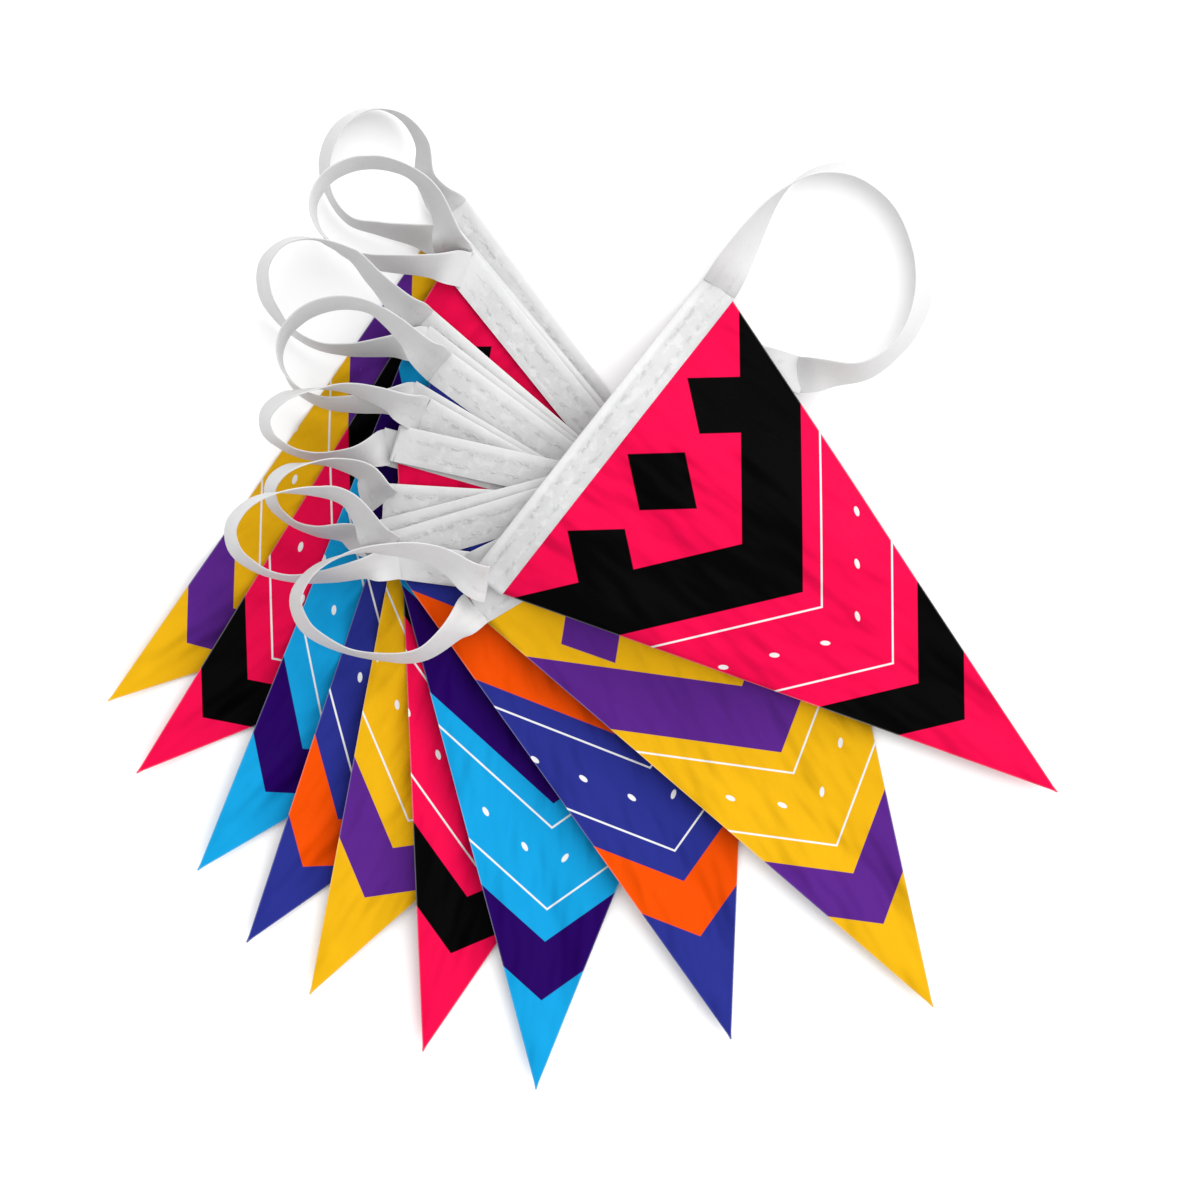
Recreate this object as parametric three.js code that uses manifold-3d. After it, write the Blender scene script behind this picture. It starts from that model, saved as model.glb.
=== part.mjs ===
// A pennant streamer laid out as a fan: ten printed triangular pennants on one
// continuous white tape, which is folded lengthwise over the top edge of each
// pennant and runs in free loops between them.
// Millimetres, +Z up. The fan lies on the plane z = 0, pennant_01 on top.

import * as THREE from "three";
import { mergeVertices } from "three/addons/utils/BufferGeometryUtils.js";
import Module from "manifold-3d";

// Sizes of the cut pieces
const PENNANT_WIDTH = 200;
const PENNANT_LENGTH = 300;
const SEAM_MARGIN = 14; // the part of a pennant that lies inside the tape's fold
const TAPE_WIDTH = 20; // the tape once folded
const CLOTH = 1; // thickness of a pennant
const LEAF = 1; // thickness of each leaf of the tape on a pennant
const TAPE = 1; // thickness of the closed tape in a loop
const LOOP_WIDTH = 19.6; // the closed tape draws in a little where it stands free
const FLAT_TAPE = 1.2; // thickness of the closed tape where it lies under a pennant
const SEAM_GAP = 0.3; // between a pennant and each leaf
const LAYER_GAP = 0.36; // between one layer of the pile and the next

// How the tape runs on past a pennant
const HEM = 2; // past each end of a pennant that a loop leaves
const FOLD = 4; // past an end where the tape folds tightly back under or over itself
const LAP = 1; // how far two stretches of the tape run into each other
const LEAD = 4; // how straight a loop leaves and comes in

// How cloth lies over what is beneath it
const PITCH = 28; // the pile's height is worked out on a lattice of this spacing
const PLATEAU = 28; // it stays at full height this far past an edge
const FALL = 62; // and comes down over this distance
const RIPPLE = 1.5; // height of the soft lengthwise folds near a pennant's tip
const RIPPLE_WIDTH = 85; // from one soft fold to the next
const RIPPLE_START = 0.3; // the part of a pennant's length at which its folds begin
const RIPPLE_FULL = 0.75; // and at which they have their full height
const CUT_DEPTH = 150; // how far the outline of a layer cuts up and down

// How a loop of tape stands
const STEP = 6; // length of one step of a loop
const CLIMB = 0.5; // a loop climbs no steeper than this
const LOOP_GAP = 1.2; // above what a loop crosses
const RING_POINTS = 9;
const CURVE_POINTS = 400; // worked out along the line of a loop

// The origin is in the middle of the laid-out fan
const CENTRE = new THREE.Vector2(-9.3, 1.04);

// The fan, from the top of the pile to the bottom. x and y place the tip of a
// pennant, turn is its axis in degrees clockwise from +X, drawn is how much shorter
// it lies than it was cut, ripple shifts its folds.
const FAN = [
  { x: 245.7, y: -103.2, turn: 38.1, drawn: 0, ripple: 0.1, colour: 0xff0a50 },
  { x: 179.0, y: -218.8, turn: 59.2, drawn: 0, ripple: 0.6, colour: 0xfabe14 },
  { x: 70.4, y: -236.0, turn: 73.4, drawn: 6.5, ripple: 0.3, colour: 0x2c3494 },
  { x: -34.4, y: -262.9, turn: 93.5, drawn: 0, ripple: 0.8, colour: 0x14aaeb },
  { x: -95.2, y: -242.5, turn: 106.0, drawn: 0, ripple: 0.2, colour: 0xff0a50 },
  { x: -155.9, y: -211.8, turn: 119.6, drawn: 9.5, ripple: 0.7, colour: 0xfabe14 },
  { x: -189.8, y: -183.9, turn: 126.6, drawn: 0, ripple: 0.4, colour: 0x2c3494 },
  { x: -216.1, y: -145.2, turn: 130.8, drawn: 9.5, ripple: 0.9, colour: 0x14aaeb },
  { x: -248.9, y: -93.0, turn: 139.8, drawn: 0, ripple: 0.5, colour: 0xff0a50 },
  { x: -264.2, y: -54.3, turn: 143.4, drawn: 4.5, ripple: 0.0, colour: 0xfabe14 },
];

// The tape's lean along a loop, in degrees: flat as it leaves, up on edge, over to
// one side of the loop, and flat again the other way up
const OPEN_LEAN = [
  { at: 0, lean: 0 },
  { at: 0.05, lean: 46 },
  { at: 0.12, lean: 58 },
  { at: 0.2, lean: 68 },
  { at: 0.27, lean: 78 },
  { at: 0.34, lean: 90 },
  { at: 0.42, lean: 101 },
  { at: 0.5, lean: 110 },
  { at: 0.58, lean: 108 },
  { at: 0.66, lean: 98 },
  { at: 0.75, lean: 101 },
  { at: 0.85, lean: 113 },
  { at: 0.94, lean: 128 },
  { at: 1, lean: 180 },
];
const ROUND_LEAN = [
  { at: 0, lean: 0 },
  { at: 0.05, lean: 46 },
  { at: 0.12, lean: 60 },
  { at: 0.25, lean: 74 },
  { at: 0.4, lean: 69 },
  { at: 0.5, lean: 72 },
  { at: 0.62, lean: 90 },
  { at: 0.72, lean: 104 },
  { at: 0.85, lean: 119 },
  { at: 0.94, lean: 131 },
  { at: 1, lean: 180 },
];
const RIGHT_LEAN = [
  { at: 0, lean: 0 },
  { at: 0.1, lean: 42 },
  { at: 0.24, lean: 90 },
  { at: 0.42, lean: 122 },
  { at: 0.56, lean: 131 },
  { at: 0.8, lean: 110 },
  { at: 0.92, lean: 125 },
  { at: 1, lean: 180 },
];

// The loops at the left ends of the pennants. x and y are the middle of the loop,
// rx and ry its radii, tilt turns it, from and to are the arc that it takes, in
// degrees. endX and endY are where the tape lies flat again, over its own pennant
// and on its way under the next one up. The fifth pennant has a tight fold there.
const LOOPS = [
  { pennant: 3, x: -158.6, y: 34.9, rx: 38.5, ry: 23.7, tilt: 0, from: 50, to: 290, endX: -108, endY: 21 },
  { pennant: 4, x: -145.2, y: 54.8, rx: 31.0, ry: 18.8, tilt: -6, from: 50, to: 290, endX: -122, endY: 32 },
  { pennant: 6, x: -142.5, y: 95.0, rx: 36.5, ry: 18.8, tilt: 0, from: 50, to: 285, endX: -114, endY: 82 },
  { pennant: 7, x: -137.1, y: 131.7, rx: 33.5, ry: 27.0, tilt: 0, from: 40, to: 280, endX: -100, endY: 107 },
  { pennant: 8, x: -147.8, y: 163.5, rx: 35.5, ry: 26.0, tilt: -35, from: 60, to: 320, endX: -94, endY: 137 },
  { pennant: 9, x: -119.4, y: 207.7, rx: 34.0, ry: 26.5, tilt: -12, from: 35, to: 275, endX: -72, endY: 177 },
  { pennant: 10, x: -120.4, y: 231.5, rx: 27.5, ry: 32.3, tilt: 0, from: -10, to: 275, endX: -82, endY: 192 },
];
const ROUND_LOOPS = [7, 9]; // the rest lean open

// The loop from the left end of the top pennant to that of the second
const TOP_LOOP = { x: -112, y: -1.6, rx: 50, ry: 29.0, tilt: 0, from: 60, to: 290 };

// The loop at the right end of the top pennant
const RIGHT_LOOP = {
  x: 128, y: 176.3, rx: 46.8, ry: 55.9, tilt: 0, from: 134, to: -100, endX: 106, endY: 121,
};

// Where the tape of the right loop ends under the cloth, and where the tape on the
// third pennant turns towards the right end of the second
const RIGHT_TUCK = { x: 76, y: 130 };
const TURN = { pennant: 3, x: -58, y: 14.5 };

const wasm = await Module();
wasm.setup();

const degrees = THREE.MathUtils.degToRad;
const placed = (spot) => new THREE.Vector2(spot.x, spot.y).sub(CENTRE);

// Joining and cutting closed meshes
function solidOf(geometry) {
  const bare = geometry.index ? geometry.toNonIndexed() : geometry.clone();
  bare.deleteAttribute("normal");
  bare.deleteAttribute("uv");
  const merged = mergeVertices(bare, 1e-4);
  return new wasm.Manifold(
    new wasm.Mesh({
      numProp: 3,
      vertProperties: new Float32Array(merged.attributes.position.array),
      triVerts: new Uint32Array(merged.index.array),
    }),
  );
}

function geometryOf(solid) {
  const mesh = solid.getMesh();
  const geometry = new THREE.BufferGeometry();
  geometry.setAttribute("position", new THREE.BufferAttribute(mesh.vertProperties, 3));
  geometry.setIndex(new THREE.BufferAttribute(mesh.triVerts, 1));
  geometry.computeVertexNormals();
  return geometry;
}

// The frame of a pennant: along runs from its left end to its right end, down
// from its top edge to its tip, and middle is the middle of the top edge.
function frameOf(row) {
  const angle = degrees(-row.turn);
  const down = new THREE.Vector2(Math.cos(angle), Math.sin(angle));
  const along = new THREE.Vector2(-down.y, down.x);
  const length = PENNANT_LENGTH - row.drawn;
  const middle = placed(row).addScaledVector(down, -length);
  const at = (v, u) => middle.clone().addScaledVector(along, v).addScaledVector(down, u);
  return { down, along, length, at };
}

// A rectangle in a pennant's frame, from one corner to the opposite one
function rectangle(frame, v0, u0, v1, u1) {
  return [frame.at(v0, u1), frame.at(v1, u1), frame.at(v1, u0), frame.at(v0, u0)];
}

function triangle(frame) {
  const half = PENNANT_WIDTH / 2;
  return [frame.at(-half, 0), frame.at(0, frame.length), frame.at(half, 0)];
}

// The outline of a straight band of tape
function bandBetween(start, end) {
  const side = end.clone().sub(start).normalize().multiplyScalar(TAPE_WIDTH / 2);
  const across = new THREE.Vector2(-side.y, side.x);
  return [
    start.clone().sub(across),
    end.clone().sub(across),
    end.clone().add(across),
    start.clone().add(across),
  ];
}

// How far a point lies outside a convex outline, 0 inside it
function outside(outline, x, y) {
  let nearest = Infinity;
  let sides = 0;
  outline.forEach((a, i) => {
    const b = outline[(i + 1) % outline.length];
    const edge = b.clone().sub(a);
    const to = new THREE.Vector2(x, y).sub(a);
    const t = THREE.MathUtils.clamp(to.dot(edge) / edge.lengthSq(), 0, 1);
    nearest = Math.min(nearest, to.distanceTo(edge.clone().multiplyScalar(t)));
    sides += Math.sign(edge.cross(to));
  });
  return Math.abs(sides) === outline.length ? 0 : nearest;
}

// The pile: each pad lifts what lies above it, in full over its outline, and
// less and less past it
const pads = [];

function cover(pad, x, y) {
  const past = Math.min(...pad.outlines.map((outline) => outside(outline, x, y)));
  return 1 - THREE.MathUtils.smoothstep(past, PLATEAU, PLATEAU + FALL);
}

function heightOver(count, x, y) {
  let height = -LAYER_GAP / 2;
  for (let i = 0; i < count; i++) height += pads[i].rise(x, y) * cover(pads[i], x, y);
  return height;
}

// A closed slab between two heights, worked out on a lattice of equal-sided
// triangles that all layers share, and cut to an outline
function slab(outline, low, high) {
  const rise = (PITCH * Math.sqrt(3)) / 2;
  const xs = outline.map((p) => p.x);
  const ys = outline.map((p) => p.y);
  const first = [Math.floor(Math.min(...xs) / PITCH) - 1, Math.floor(Math.min(...ys) / rise)];
  const last = [Math.ceil(Math.max(...xs) / PITCH), Math.ceil(Math.max(...ys) / rise)];
  const columns = last[0] - first[0] + 1;
  const rows = last[1] - first[1] + 1;
  const layer = columns * rows;
  const isOdd = (j) => Math.abs(first[1] + j) % 2 === 1;
  const points = [];
  for (const height of [low, high]) {
    for (let j = 0; j < rows; j++) {
      for (let i = 0; i < columns; i++) {
        const x = (first[0] + i + (isOdd(j) ? 0.5 : 0)) * PITCH;
        const y = (first[1] + j) * rise;
        points.push(x, y, height(x, y));
      }
    }
  }
  const faces = [];
  for (let j = 0; j + 1 < rows; j++) {
    for (let i = 0; i + 1 < columns; i++) {
      const a = j * columns + i;
      const [b, c, d] = [a + 1, a + columns + 1, a + columns];
      const pair = isOdd(j) ? [[a, b, c], [a, c, d]] : [[a, b, d], [b, c, d]];
      for (const [p, q, r] of pair) faces.push(p + layer, q + layer, r + layer, p, r, q);
    }
  }
  const rim = [];
  for (let i = 0; i < columns; i++) rim.push(i);
  for (let j = 1; j < rows; j++) rim.push(j * columns + columns - 1);
  for (let i = columns - 2; i >= 0; i--) rim.push((rows - 1) * columns + i);
  for (let j = rows - 2; j > 0; j--) rim.push(j * columns);
  rim.forEach((a, i) => {
    const b = rim[(i + 1) % rim.length];
    faces.push(a, b, b + layer, a, b + layer, a + layer);
  });
  const geometry = new THREE.BufferGeometry();
  geometry.setAttribute("position", new THREE.Float32BufferAttribute(points, 3));
  geometry.setIndex(faces);
  const prism = new THREE.ExtrudeGeometry(new THREE.Shape(outline), {
    depth: 2 * CUT_DEPTH,
    bevelEnabled: false,
  });
  prism.translate(0, 0, -CUT_DEPTH);
  return solidOf(geometry).intersect(solidOf(prism));
}

function sheet(outline, middle, thickness) {
  const half = thickness / 2;
  return slab(outline, (x, y) => middle(x, y) - half, (x, y) => middle(x, y) + half);
}

// A strip of closed tape through a row of sections, each with its middle and
// the direction of its width
function strip(sections) {
  const points = [];
  const faces = [];
  sections.forEach((section, i) => {
    const before = sections[Math.max(i - 1, 0)].middle;
    const after = sections[Math.min(i + 1, sections.length - 1)].middle;
    const way = after.clone().sub(before).normalize();
    const width = section.width.clone().addScaledVector(way, -section.width.dot(way)).normalize();
    const face = way.clone().cross(width);
    for (const [w, f] of [[-1, -1], [1, -1], [1, 1], [-1, 1]]) {
      const corner = section.middle.clone();
      corner.addScaledVector(width, (w * LOOP_WIDTH) / 2);
      corner.addScaledVector(face, (f * TAPE) / 2);
      points.push(...corner.toArray());
    }
  });
  for (let i = 0; i + 1 < sections.length; i++) {
    for (let s = 0; s < 4; s++) {
      const a = i * 4 + s;
      const b = i * 4 + ((s + 1) % 4);
      faces.push(a, b, b + 4, a, b + 4, a + 4);
    }
  }
  const last = (sections.length - 1) * 4;
  faces.push(0, 2, 1, 0, 3, 2, last, last + 1, last + 2, last, last + 2, last + 3);
  const geometry = new THREE.BufferGeometry();
  geometry.setAttribute("position", new THREE.Float32BufferAttribute(points, 3));
  geometry.setIndex(faces);
  const solid = solidOf(geometry);
  return solid.volume() > 0 ? solid : solidOf(turnedInsideOut(geometry));
}

function turnedInsideOut(geometry) {
  const index = Array.from(geometry.index.array);
  for (let i = 0; i < index.length; i += 3) [index[i + 1], index[i + 2]] = [index[i + 2], index[i + 1]];
  return geometry.clone().setIndex(index);
}

// The line of a loop, seen from above: out of the head, round the loop and
// down to where it lies flat again
function loopLine(loop, start, out, end, into) {
  const tilt = degrees(loop.tilt);
  const points = [start.clone().addScaledVector(out, -LEAD), start];
  for (let i = 0; i < RING_POINTS; i++) {
    const angle = degrees(THREE.MathUtils.lerp(loop.from, loop.to, i / (RING_POINTS - 1)));
    const point = new THREE.Vector2(loop.rx * Math.cos(angle), loop.ry * Math.sin(angle));
    points.push(point.rotateAround(new THREE.Vector2(), tilt).add(placed(loop)));
  }
  points.push(end, end.clone().addScaledVector(into, LEAD));
  const spline = points.map((p) => new THREE.Vector3(p.x, p.y, 0));
  const curve = new THREE.CatmullRomCurve3(spline, false, "centripetal");
  const fine = curve.getSpacedPoints(CURVE_POINTS);
  const nearest = (to) => {
    const away = fine.map((p) => Math.hypot(p.x - to.x, p.y - to.y));
    return away.indexOf(Math.min(...away));
  };
  const run = fine.slice(nearest(start), nearest(end) + 1);
  const length = (curve.getLength() * (run.length - 1)) / CURVE_POINTS;
  const count = Math.round(length / STEP);
  return Array.from({ length: count + 1 }, (_, i) => run[Math.round((i * (run.length - 1)) / count)]);
}

function leanAt(table, t) {
  const i = Math.max(1, table.findIndex((row) => row.at >= t));
  const [before, after] = [table[i - 1], table[i]];
  const part = (t - before.at) / (after.at - before.at);
  return degrees(THREE.MathUtils.lerp(before.lean, after.lean, part));
}

// The loops laid so far, as points with their reach to each side and their top
const laid = [];

// A loop of tape: it stands on what it crosses, and climbs no steeper than CLIMB
function loopSolid(loop, leans, start, out, end, into, startHeight, endHeight) {
  const count = pads.length;
  const line = loopLine(loop, start, out, end, into);
  const last = line.length - 1;
  const handed = loop.to > loop.from ? 1 : -1;
  const spots = line.map((p, i) => {
    const lean = leanAt(leans, i / last);
    const way = line[Math.min(i + 1, last)].clone().sub(line[Math.max(i - 1, 0)]).normalize();
    const side = new THREE.Vector2(way.y, -way.x).multiplyScalar(handed);
    const reach = Math.abs(Math.cos(lean)) * (TAPE_WIDTH / 2) + TAPE / 2;
    const half = Math.sin(lean) * (TAPE_WIDTH / 2) + (Math.abs(Math.cos(lean)) * TAPE) / 2;
    return { x: p.x, y: p.y, lean, side, reach, half };
  });
  spots.forEach((spot) => {
    const under = [-1, 0, 1].map((s) =>
      heightOver(count, spot.x + s * spot.side.x * spot.reach, spot.y + s * spot.side.y * spot.reach),
    );
    spot.need = Math.max(...under) + LAYER_GAP / 2 + spot.half;
    for (const other of laid) {
      const apart = Math.hypot(spot.x - other.x, spot.y - other.y);
      if (apart > spot.reach + other.reach + STEP) continue;
      spot.need = Math.max(spot.need, other.top + LOOP_GAP + spot.half);
    }
  });
  spots[0].need = startHeight;
  spots[last].need = endHeight;
  const heights = spots.map((_, i) =>
    Math.max(...spots.map((other, j) => other.need - CLIMB * STEP * Math.abs(i - j))),
  );
  heights[0] = startHeight;
  heights[last] = endHeight;
  spots.forEach((spot, i) => {
    laid.push({ x: spot.x, y: spot.y, reach: spot.reach, top: heights[i] + spot.half });
  });
  return strip(
    spots.map((spot, i) => {
      const width = new THREE.Vector3(spot.side.x, spot.side.y, 0).multiplyScalar(Math.cos(spot.lean));
      width.z = Math.sin(spot.lean);
      return { middle: new THREE.Vector3(spot.x, spot.y, heights[i]), width };
    }),
  );
}

// Building the pile from the bottom up
const half = PENNANT_WIDTH / 2;
const thinLayer = CLOTH + LAYER_GAP;
const head = CLOTH + 2 * LEAF + 2 * SEAM_GAP;
const frames = FAN.map(frameOf);
const tape = [];
const slots = [];
const pennants = [];

// The middle of the tape's width, so far to the left or right of a pennant's middle
const tapeMiddle = (frame, v) => frame.at(v, -TAPE_WIDTH / 2);

// The fifth pennant's tape turns tightly at its left end
const hasTightEnd = (k) => k >= 2 && !LOOPS.some((loop) => loop.pennant === k + 1);

// A straight run of closed tape lying flat on the pile, or on the first pads of it
function flatRun(start, end, count = pads.length) {
  const middle = (x, y) => heightOver(count, x, y) + (FLAT_TAPE + LAYER_GAP) / 2;
  const outline = bandBetween(start, end);
  tape.push(sheet(outline, middle, FLAT_TAPE));
  pads.push({ outlines: [outline], rise: () => FLAT_TAPE + LAYER_GAP });
  return middle;
}

// The tape folded over the top edge of a pennant, and the pennant itself
function layPennant(k) {
  const frame = frames[k];
  const count = pads.length;
  const left = -half - (hasTightEnd(k) ? FOLD : HEM);
  const right = half + (k === 0 || k === FAN.length - 1 ? HEM : FOLD);
  const band = rectangle(frame, left, -TAPE_WIDTH, right, 0);
  const cloth = triangle(frame);
  const ripples = (x, y) => {
    const away = new THREE.Vector2(x, y).sub(frame.at(0, 0));
    const u = away.dot(frame.down);
    const [first, full] = [frame.length * RIPPLE_START, frame.length * RIPPLE_FULL];
    const fade = THREE.MathUtils.smoothstep(u, first, full);
    const wave = Math.cos(2 * Math.PI * (away.dot(frame.along) / RIPPLE_WIDTH + FAN[k].ripple));
    return RIPPLE * fade * Math.max(0, wave);
  };
  const body = { outlines: [band, cloth], rise: (x, y) => thinLayer + ripples(x, y) };
  const heading = { outlines: [band], rise: () => head - CLOTH };
  const middle = (x, y) => {
    const thickening = (head - CLOTH) * cover(heading, x, y);
    return heightOver(count, x, y) + (thinLayer + thickening) / 2 + ripples(x, y) * cover(body, x, y);
  };
  pads.push(body, heading);

  const margin = rectangle(frame, -half, -SEAM_MARGIN, half, 1);
  pennants.push({
    name: "pennant_" + String(k + 1).padStart(2, "0"),
    solid: sheet(cloth, middle, CLOTH).add(sheet(margin, middle, CLOTH)),
    colour: FAN[k].colour,
  });
  tape.push(sheet(band, middle, head));
  const room = rectangle(frame, -half - SEAM_GAP, -SEAM_MARGIN - SEAM_GAP, half + SEAM_GAP, 2);
  slots.push(sheet(room, middle, CLOTH + 2 * SEAM_GAP));
  return middle;
}

// The end of a pennant where the tape turns tightly, with the wall of the turn
// between two heights
function tightEnd(k, side, low, high) {
  const [from, to] = [half + SEAM_GAP + LEAF, half + FOLD];
  const outline = side > 0 ? [from, -TAPE_WIDTH, to, 0] : [-to, -TAPE_WIDTH, -from, 0];
  tape.push(slab(rectangle(frames[k], ...outline), low, high));
}

const foldEnd = half + FOLD - LAP;
const loopEnd = half + HEM - LAP;
const middles = [];
let returned = null;
for (let k = FAN.length - 1; k >= 0; k--) {
  const frame = frames[k];
  const leftEnd = tapeMiddle(frame, -loopEnd);
  let tucked = null;
  const rightLanding = placed({ x: RIGHT_LOOP.endX, y: RIGHT_LOOP.endY });
  const inward = placed(RIGHT_TUCK).sub(rightLanding).normalize();
  if (k === 0) tucked = flatRun(rightLanding.clone().addScaledVector(inward, -LAP), placed(RIGHT_TUCK));
  middles[k] = layPennant(k);
  if (returned) tightEnd(k, 1, returned, middles[k]);
  if (k === 0) {
    // Round to the left end of the second pennant, and out at the right
    const [second, end] = [frames[1], tapeMiddle(frames[1], -loopEnd)];
    const heights = [middles[0](leftEnd.x, leftEnd.y), middles[1](end.x, end.y)];
    const out = frame.along.clone().negate();
    tape.push(loopSolid(TOP_LOOP, OPEN_LEAN, leftEnd, out, end, second.along, ...heights));
    const start = tapeMiddle(frame, loopEnd);
    const ends = [middles[0](start.x, start.y), tucked(rightLanding.x, rightLanding.y)];
    tape.push(loopSolid(RIGHT_LOOP, RIGHT_LEAN, start, frame.along, rightLanding, inward, ...ends));
  }
  returned = null;
  if (k < 2) continue;

  // Back over this pennant to the right end of the next one up
  const loop = LOOPS.find((row) => row.pennant === k + 1);
  const target = tapeMiddle(frames[k - 1], foldEnd);
  const landing = loop ? placed({ x: loop.endX, y: loop.endY }) : tapeMiddle(frame, -foldEnd);
  const turn = TURN.pennant === k + 1 ? placed(TURN) : target;
  const into = turn.clone().sub(landing).normalize();
  const from = landing.clone().addScaledVector(into, loop ? -LAP : 0);
  const count = pads.length;
  const run = flatRun(from, turn);
  returned = run;
  if (turn !== target) returned = flatRun(turn.clone().addScaledVector(into, -TAPE_WIDTH / 2), target, count);
  if (loop) {
    const heights = [middles[k](leftEnd.x, leftEnd.y), run(landing.x, landing.y)];
    const out = frame.along.clone().negate();
    const leans = ROUND_LOOPS.includes(loop.pennant) ? ROUND_LEAN : OPEN_LEAN;
    tape.push(loopSolid(loop, leans, leftEnd, out, landing, into, ...heights));
  } else {
    tightEnd(k, -1, middles[k], run);
  }
}

const joined = tape.reduce((whole, piece) => whole.add(piece));
const tapeSolid = slots.reduce((whole, slot) => whole.subtract(slot), joined);

function meshOf(name, solid, colour, roughness) {
  const material = new THREE.MeshStandardMaterial({ color: colour, roughness, metalness: 0 });
  const mesh = new THREE.Mesh(geometryOf(solid), material);
  mesh.name = name;
  return mesh;
}

const group = new THREE.Group();
group.add(meshOf("tape", tapeSolid, 0xf2f2f2, 0.6));
for (const pennant of pennants.reverse()) {
  group.add(meshOf(pennant.name, pennant.solid, pennant.colour, 0.5));
}

export default group;
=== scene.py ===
import math

import bpy
import numpy as np
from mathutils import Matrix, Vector


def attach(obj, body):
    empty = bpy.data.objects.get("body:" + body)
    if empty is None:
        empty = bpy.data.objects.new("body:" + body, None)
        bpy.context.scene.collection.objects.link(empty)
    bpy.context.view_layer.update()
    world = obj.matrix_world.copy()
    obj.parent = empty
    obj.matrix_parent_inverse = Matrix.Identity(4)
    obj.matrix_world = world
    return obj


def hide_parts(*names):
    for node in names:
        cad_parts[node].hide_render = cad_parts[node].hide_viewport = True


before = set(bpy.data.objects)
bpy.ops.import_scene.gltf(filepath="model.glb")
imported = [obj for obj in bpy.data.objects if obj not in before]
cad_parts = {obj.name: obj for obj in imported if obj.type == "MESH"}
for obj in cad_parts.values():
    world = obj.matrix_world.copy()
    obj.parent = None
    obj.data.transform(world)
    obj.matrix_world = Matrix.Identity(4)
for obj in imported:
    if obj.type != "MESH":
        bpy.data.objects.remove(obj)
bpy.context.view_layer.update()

# Millimetres here, metres in the meshes
MM = 0.001

# The same sizes and tables as in the part's source
PENNANT_WIDTH = 200
PENNANT_LENGTH = 300
SEAM_MARGIN = 14
TAPE_WIDTH = 20
CLOTH = 1
LEAF = 1
TAPE = 1
LOOP_WIDTH = 19.6
FLAT_TAPE = 1.2
SEAM_GAP = 0.3
LAYER_GAP = 0.36
HEM = 2
FOLD = 4
LAP = 1
LEAD = 4
PLATEAU = 28
FALL = 62
RIPPLE = 1.5
RIPPLE_WIDTH = 85
RIPPLE_START = 0.3
RIPPLE_FULL = 0.75
STEP = 6
CLIMB = 0.5
LOOP_GAP = 1.2
RING_POINTS = 9
CENTRE = np.array([-9.3, 1.04])

PINK = (255, 10, 80)
YELLOW = (250, 190, 20)
INDIGO = (44, 52, 148)
CYAN = (20, 170, 235)
BLACK = (0, 0, 0)
PURPLE = (95, 40, 145)
ORANGE = (255, 85, 0)
VIOLET = (40, 0, 100)

# x, y of the tip, turn, how much shorter it lies than it was cut, shift of the soft
# folds, main and second colour
FAN = [
    (245.7, -103.2, 38.1, 0, 0.1, PINK, BLACK),
    (179.0, -218.8, 59.2, 0, 0.6, YELLOW, PURPLE),
    (70.4, -236.0, 73.4, 6.5, 0.3, INDIGO, ORANGE),
    (-34.4, -262.9, 93.5, 0, 0.8, CYAN, VIOLET),
    (-95.2, -242.5, 106.0, 0, 0.2, PINK, BLACK),
    (-155.9, -211.8, 119.6, 9.5, 0.7, YELLOW, PURPLE),
    (-189.8, -183.9, 126.6, 0, 0.4, INDIGO, ORANGE),
    (-216.1, -145.2, 130.8, 9.5, 0.9, CYAN, VIOLET),
    (-248.9, -93.0, 139.8, 0, 0.5, PINK, BLACK),
    (-264.2, -54.3, 143.4, 4.5, 0.0, YELLOW, PURPLE),
]

# pennant: x, y, rx, ry, tilt, from, to, endX, endY
LOOPS = {
    3: (-158.6, 34.9, 38.5, 23.7, 0, 50, 290, -108, 21),
    4: (-145.2, 54.8, 31.0, 18.8, -6, 50, 290, -122, 32),
    6: (-142.5, 95.0, 36.5, 18.8, 0, 50, 285, -114, 82),
    7: (-137.1, 131.7, 33.5, 27.0, 0, 40, 280, -100, 107),
    8: (-147.8, 163.5, 35.5, 26.0, -35, 60, 320, -94, 137),
    9: (-119.4, 207.7, 34.0, 26.5, -12, 35, 275, -72, 177),
    10: (-120.4, 231.5, 27.5, 32.3, 0, -10, 275, -82, 192),
}
ROUND_LOOPS = (7, 9)
TOP_LOOP = (-112, -1.6, 50, 29.0, 0, 60, 290)
RIGHT_LOOP = (128, 176.3, 46.8, 55.9, 0, 134, -100, 106, 121)
RIGHT_TUCK = (76, 130)
TURN_AFTER, TURN = 3, (-58, 14.5)

# How far along a loop, and the tape's lean there in degrees
OPEN_LEAN = [
    (0, 0), (0.05, 46), (0.12, 58), (0.2, 68), (0.27, 78), (0.34, 90), (0.42, 101), (0.5, 110),
    (0.58, 108), (0.66, 98), (0.75, 101), (0.85, 113), (0.94, 128), (1, 180),
]
ROUND_LEAN = [
    (0, 0), (0.05, 46), (0.12, 60), (0.25, 74), (0.4, 69), (0.5, 72),
    (0.62, 90), (0.72, 104), (0.85, 119), (0.94, 131), (1, 180),
]
RIGHT_LEAN = [
    (0, 0), (0.1, 42), (0.24, 90), (0.42, 122), (0.56, 131), (0.8, 110), (0.92, 125), (1, 180),
]

# What only this scene shows: the real cloth is thinner than the solids
THIN = 0.45  # a pennant
THIN_LEAF = 0.32  # one leaf of the tape
LEAF_GAP = 0.12  # between the closed tape's leaves
SEAM_OPENING = THIN / 2 + 0.12  # half the gap between the leaves on a pennant
TIP = 0.4  # half the width that is left at a pennant's tip
COLUMNS = 49  # points across a pennant
MARGIN_ROWS, BODY_ROWS = 4, 76  # rows of points in its seam margin and below it
SHARP = 75  # an edge turned by more degrees than this isn't smoothed over

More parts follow.
